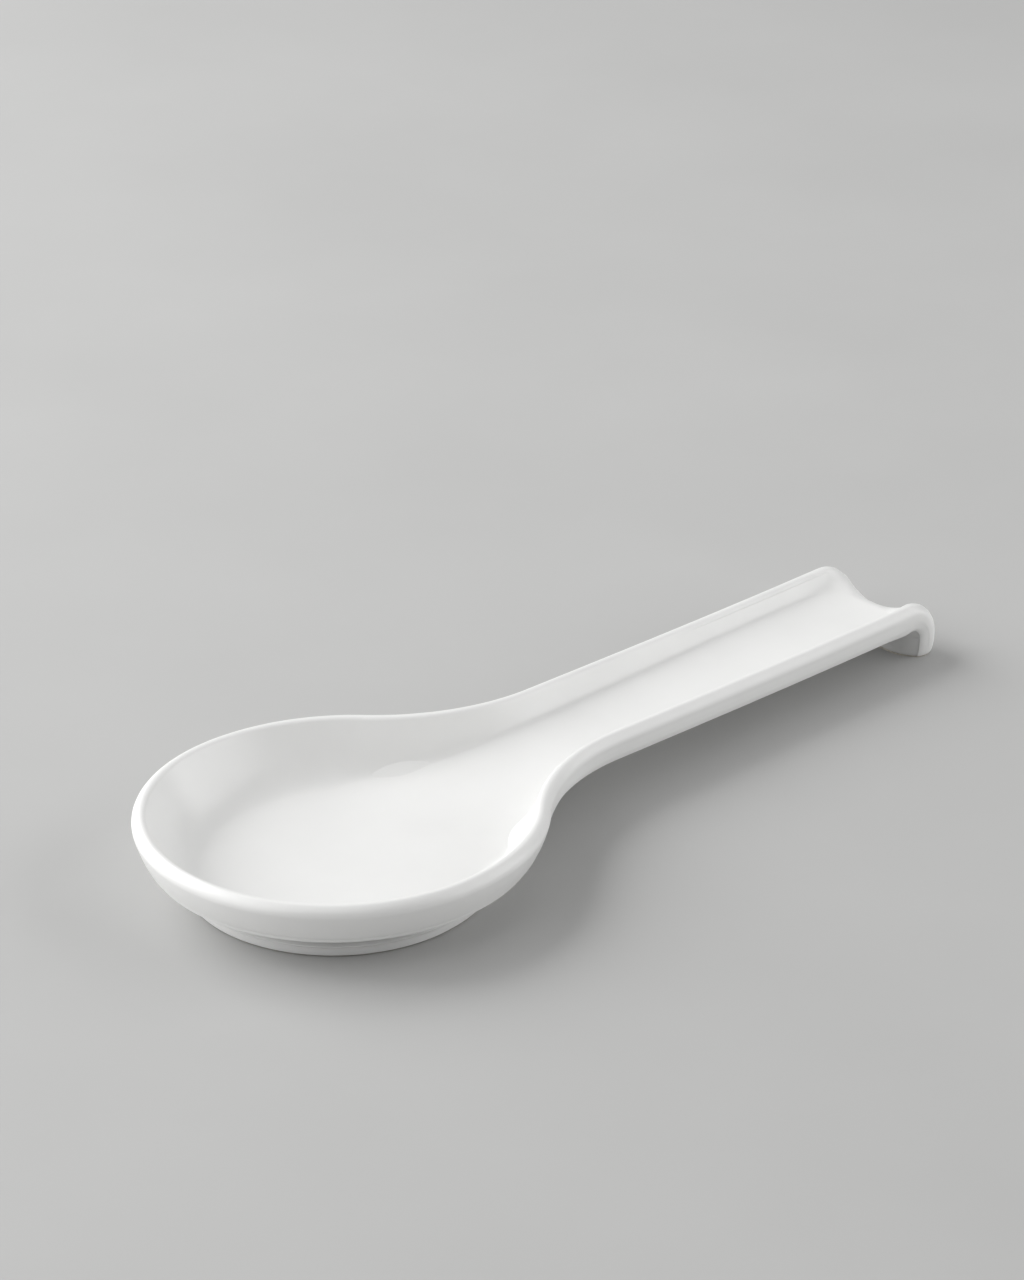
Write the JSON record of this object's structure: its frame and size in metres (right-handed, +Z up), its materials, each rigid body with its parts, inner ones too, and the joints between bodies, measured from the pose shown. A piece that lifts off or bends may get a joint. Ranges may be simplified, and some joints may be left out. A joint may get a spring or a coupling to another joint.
{
  "type": "spoon rest",
  "caption": "Ceramic spoon rest: a round shallow bowl with a flat foot, flowing into a channelled handle whose end turns down to stand on the table.",
  "frame": {"origin": "on the table, at the middle of the bounding box's bottom face", "axes": "+X from the bowl along the handle to the end foot, +Y across the handle, +Z up from the table"},
  "size_m": [0.2849, 0.114, 0.0232],
  "materials": {
    "white_glaze": "gloss",
    "bare_clay": "matte"
  },
  "bodies": {
    "root": {"bowl": "white_glaze", "handle": "white_glaze", "end_foot": "white_glaze", "bowl_foot": "white_glaze", "bowl_foot_edge": "bare_clay", "end_foot_edge": "bare_clay"}
  },
  "joints": []
}
